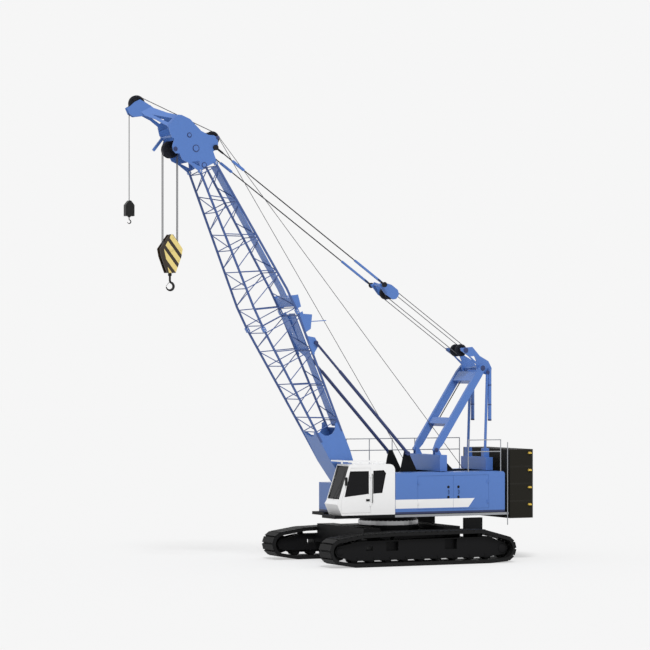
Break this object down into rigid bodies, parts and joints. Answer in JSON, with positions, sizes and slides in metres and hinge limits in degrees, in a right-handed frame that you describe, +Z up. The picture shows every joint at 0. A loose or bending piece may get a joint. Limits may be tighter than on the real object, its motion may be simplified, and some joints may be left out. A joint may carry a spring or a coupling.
{
  "type": "crawler crane",
  "caption": "Crawler crane on two tracks with a slewing upper works, side cab, gantry, lattice boom, auxiliary nose, hooks and a stacked counterweight.",
  "frame": {"origin": "middle of the machine's bounding box in plan, at ground level", "axes": "+X forward as the tracks and boom point, +Y to the machine's left where the cab stands, +Z up"},
  "size_m": [13.8254, 5.3, 14.9382],
  "materials": {
    "blue_paint": "satin paint",
    "white_paint": "gloss paint",
    "black_paint": "satin paint",
    "track_iron": "worn cast steel",
    "dark_iron": "painted casting",
    "bright_steel": "machined",
    "sheave_iron": "painted casting",
    "rope_steel": "greased wire rope",
    "yellow_paint": "gloss paint",
    "hook_steel": "forged",
    "glass": "tinted",
    "seat_fabric": "woven",
    "cab_plastic": "moulded"
  },
  "bodies": {
    "undercarriage": {"carbody": "black_paint", "slewing_ring": "bright_steel", "side_frame_left": "black_paint", "side_frame_right": "black_paint", "track_left": "track_iron", "track_right": "track_iron", "idler_left": "black_paint", "idler_right": "black_paint", "sprocket_left": "black_paint", "sprocket_right": "black_paint"},
    "superstructure": {"deck": "black_paint", "left_housing": "blue_paint", "right_housing": "blue_paint", "engine": "black_paint", "hydraulic_tank": "black_paint", "cab_shell": "white_paint", "cab_windows": "glass", "seat": "seat_fabric", "consoles": "cab_plastic", "cab_guard": "black_paint", "counterweight": "dark_iron", "gantry_front_base": "blue_paint", "gantry_rear_base": "blue_paint", "winch_guard": "black_paint", "gantry_legs": "blue_paint", "gantry_rear_legs": "blue_paint", "gantry_head": "blue_paint", "hand_rail_left": "bright_steel", "hand_rail_right": "bright_steel"},
    "cab_door": {"cab_door": "white_paint", "cab_door_window": "glass"},
    "boom": {"boom_base": "blue_paint", "boom_tip": "blue_paint", "boom_head": "blue_paint", "boom_walkway": "blue_paint"},
    "aux_hook": {"aux_rope": "rope_steel", "aux_hook": "hook_steel"},
    "service_door_front": {"service_door_front": "blue_paint"},
    "service_door_rear": {"service_door_rear": "blue_paint"},
    "engine_door": {"engine_door": "blue_paint"},
    "main_drum": {"main_drum": "black_paint"},
    "aux_drum": {"aux_drum": "black_paint"},
    "luffing_drum": {"luffing_drum": "black_paint"},
    "gantry_sheaves": {"gantry_sheaves": "sheave_iron"},
    "luffing_falls": {"luffing_falls": "rope_steel"},
    "bridle": {"bridle": "blue_paint"},
    "bridle_sheaves": {"bridle_sheaves": "sheave_iron"},
    "pendants": {"pendants": "rope_steel"},
    "backstop_tubes": {"backstop_tubes": "blue_paint"},
    "backstop_rods": {"backstop_rods": "bright_steel"},
    "main_sheaves": {"main_sheaves": "sheave_iron"},
    "guide_sheaves": {"guide_sheaves": "sheave_iron"},
    "nose_sheave": {"nose_sheave": "sheave_iron"},
    "main_falls": {"main_falls": "rope_steel"},
    "main_block": {"main_block": "yellow_paint"},
    "block_sheaves": {"block_sheaves": "sheave_iron"},
    "main_hook": {"main_hook": "hook_steel"},
    "aux_falls": {"aux_falls": "rope_steel"}
  },
  "joints": [
    {"name": "slew", "type": "hinge", "parent": "undercarriage", "child": "superstructure", "pos_m": [-2.33773, 0, 1.34], "axis": [0, 0, 1], "continuous": true},
    {"name": "boom_luff", "type": "hinge", "parent": "superstructure", "child": "boom", "pos_m": [-1.12073, 0, 1.97], "axis": [0, -1, 0], "range_deg": [-33.35, 16.65]},
    {"name": "cab_door_swing", "type": "hinge", "parent": "superstructure", "child": "cab_door", "pos_m": [-0.94273, 1.5648, 2.4], "axis": [0, 0, 1], "range_deg": [0, 100]},
    {"name": "service_door_front_swing", "type": "hinge", "parent": "superstructure", "child": "service_door_front", "pos_m": [-2.65073, 1.5648, 2.28], "axis": [0, 0, -1], "range_deg": [0, 110]},
    {"name": "service_door_rear_swing", "type": "hinge", "parent": "superstructure", "child": "service_door_rear", "pos_m": [-5.25673, 1.5648, 2.28], "axis": [0, 0, 1], "range_deg": [0, 110]},
    {"name": "engine_door_swing", "type": "hinge", "parent": "superstructure", "child": "engine_door", "pos_m": [-3.43773, -1.5648, 2.28], "axis": [0, 0, 1], "range_deg": [0, 110]},
    {"name": "main_drum_turn", "type": "hinge", "parent": "superstructure", "child": "main_drum", "pos_m": [-3.15773, 0, 2.48], "axis": [0, 1, 0], "continuous": true},
    {"name": "aux_drum_turn", "type": "hinge", "parent": "superstructure", "child": "aux_drum", "pos_m": [-4.16773, 0, 2.48], "axis": [0, 1, 0], "continuous": true},
    {"name": "luffing_drum_turn", "type": "hinge", "parent": "superstructure", "child": "luffing_drum", "pos_m": [-5.11773, 0, 2.48], "axis": [0, 1, 0], "continuous": true},
    {"name": "gantry_sheaves_turn", "type": "hinge", "parent": "superstructure", "child": "gantry_sheaves", "pos_m": [-4.94773, 0, 6.92], "axis": [0, 1, 0], "continuous": true},
    {"name": "luffing_falls_swing", "type": "hinge", "parent": "superstructure", "child": "luffing_falls", "pos_m": [-4.94773, 0, 6.92], "axis": [0, -1, 0], "range_deg": [-21.26, 10.67]},
    {"name": "bridle_travel", "type": "slide", "parent": "luffing_falls", "child": "bridle", "axis": [0.8129, 0, 0.5823], "range_m": [-1.80757, 3.61856]},
    {"name": "bridle_sheaves_turn", "type": "hinge", "parent": "bridle", "child": "bridle_sheaves", "pos_m": [-2.33006, 0, 8.79516], "axis": [0, 1, 0], "continuous": true},
    {"name": "pendants_swing", "type": "hinge", "parent": "bridle", "child": "pendants", "pos_m": [-1.96424, 0, 9.05722], "axis": [0, -1, 0], "range_deg": [-15.94, 8.02]},
    {"name": "backstop_tubes_swing", "type": "hinge", "parent": "superstructure", "child": "backstop_tubes", "pos_m": [-2.71373, 0, 3.54], "axis": [0, -1, 0], "range_deg": [-31.45, 15.76]},
    {"name": "backstop_rods_travel", "type": "slide", "parent": "backstop_tubes", "child": "backstop_rods", "axis": [0.6756, 0, 0.7372], "range_m": [-0.6372, 1.2743]},
    {"name": "main_sheaves_turn", "type": "hinge", "parent": "boom", "child": "main_sheaves", "pos_m": [5.38642, 0, 13.25519], "axis": [0, 1, 0], "continuous": true},
    {"name": "guide_sheaves_turn", "type": "hinge", "parent": "boom", "child": "guide_sheaves", "pos_m": [3.93492, 0, 13.66028], "axis": [0, 1, 0], "continuous": true},
    {"name": "nose_sheave_turn", "type": "hinge", "parent": "boom", "child": "nose_sheave", "pos_m": [6.51773, 0, 14.66224], "axis": [0, 1, 0], "continuous": true},
    {"name": "main_falls_swing", "type": "hinge", "parent": "boom", "child": "main_falls", "pos_m": [5.38642, 0, 13.25519], "axis": [0, -1, 0], "range_deg": [-16.76, 33.46]},
    {"name": "main_hoist", "type": "slide", "parent": "main_falls", "child": "main_block", "axis": [0, 0, -1], "range_m": [-1.7, 8.4]},
    {"name": "block_sheaves_turn", "type": "hinge", "parent": "main_block", "child": "block_sheaves", "pos_m": [5.38642, 0, 10.11], "axis": [0, 1, 0], "continuous": true},
    {"name": "main_hook_turn", "type": "hinge", "parent": "main_block", "child": "main_hook", "pos_m": [5.38642, 0, 9.35], "axis": [0, 0, 1], "continuous": true},
    {"name": "aux_falls_swing", "type": "hinge", "parent": "boom", "child": "aux_falls", "pos_m": [6.51773, 0, 14.66224], "axis": [0, -1, 0], "range_deg": [-16.76, 33.46]},
    {"name": "aux_hoist", "type": "slide", "parent": "aux_falls", "child": "aux_hook", "axis": [0, 0, -1], "range_m": [-2.2, 9]}
  ],
  "couplings": [
    {"joint": "luffing_falls_swing", "follows": "boom_luff", "ratio": 0.63413},
    {"joint": "bridle_travel", "follows": "boom_luff", "m_per_rad": -6.2133},
    {"joint": "pendants_swing", "follows": "boom_luff", "ratio": 0.47459},
    {"joint": "backstop_tubes_swing", "follows": "boom_luff", "ratio": 0.93948},
    {"joint": "backstop_rods_travel", "follows": "boom_luff", "m_per_rad": -2.1858},
    {"joint": "main_falls_swing", "follows": "boom_luff", "ratio": -1},
    {"joint": "aux_falls_swing", "follows": "boom_luff", "ratio": -1}
  ]
}
